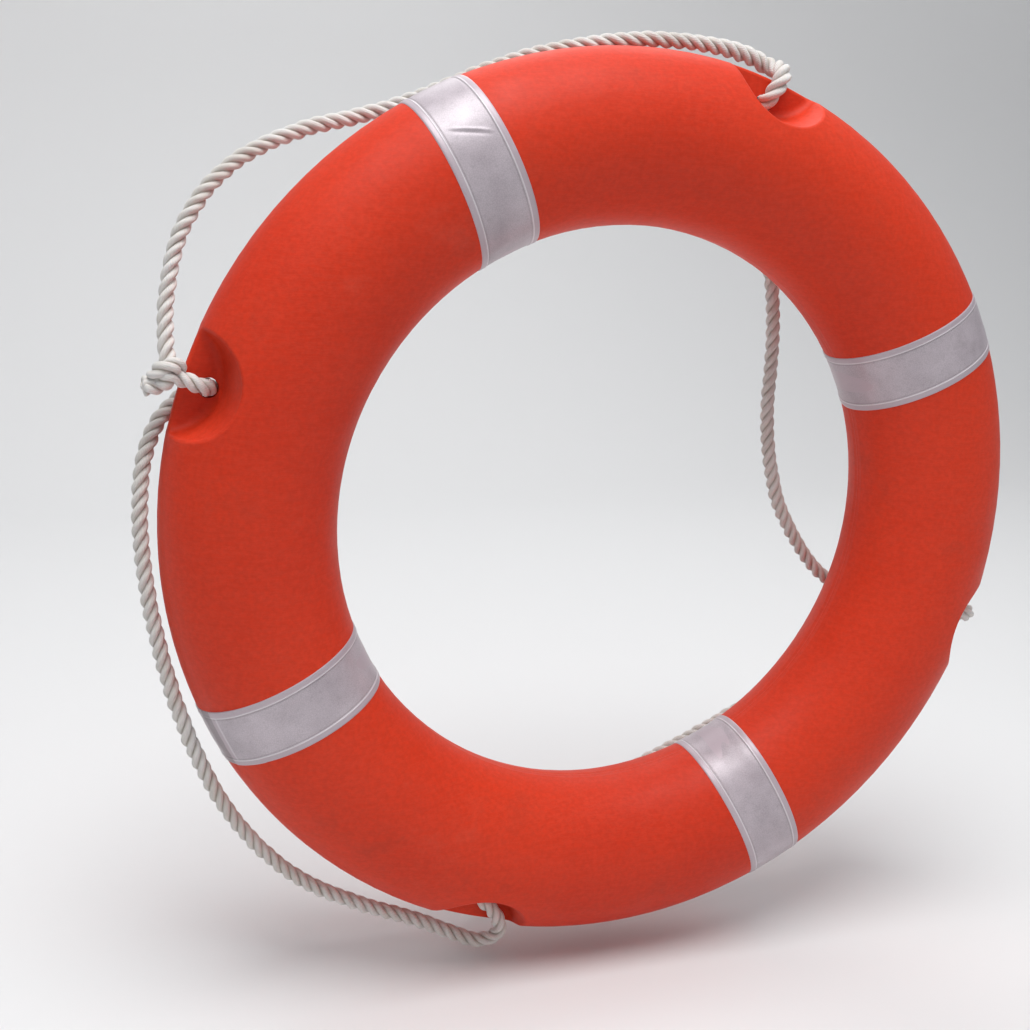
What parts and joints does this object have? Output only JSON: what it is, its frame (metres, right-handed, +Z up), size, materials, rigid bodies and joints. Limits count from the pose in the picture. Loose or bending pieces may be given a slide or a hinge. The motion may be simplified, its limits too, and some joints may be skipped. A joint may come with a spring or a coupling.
{
  "type": "ring lifebuoy",
  "caption": "Upright ring-shaped life buoy: a foam-filled moulded shell with reflective bands and a rope grab line laced through webs in its outer edge.",
  "frame": {"origin": "the centre of the central opening, on the ring's middle plane", "axes": "+Z up with the ring hanging upright, Y along the ring's axis with the front face looking to -Y, +X to the right seen from the front"},
  "size_m": [0.7375, 0.1388, 0.7445],
  "materials": {
    "shell_plastic": "rotationally moulded polyethylene, satin, international orange",
    "foam": "closed-cell polyurethane foam, matte",
    "plug_plastic": "moulded polyethylene, satin",
    "reflective_tape": "silver retroreflective tape with sealed borders",
    "rope": "three-strand laid polyolefin rope, slightly fuzzy"
  },
  "bodies": {
    "root": {"outer_shell": "shell_plastic", "foam_core": "foam", "foam_fill_plug": "plug_plastic", "vent_plug": "plug_plastic", "reflective_band_right": "reflective_tape", "reflective_band_upper_left": "reflective_tape", "reflective_band_lower_left": "reflective_tape", "reflective_band_lower_right": "reflective_tape", "grab_line": "rope", "joining_knot": "rope", "rope_tail_front": "rope", "rope_tail_back": "rope"}
  },
  "joints": []
}
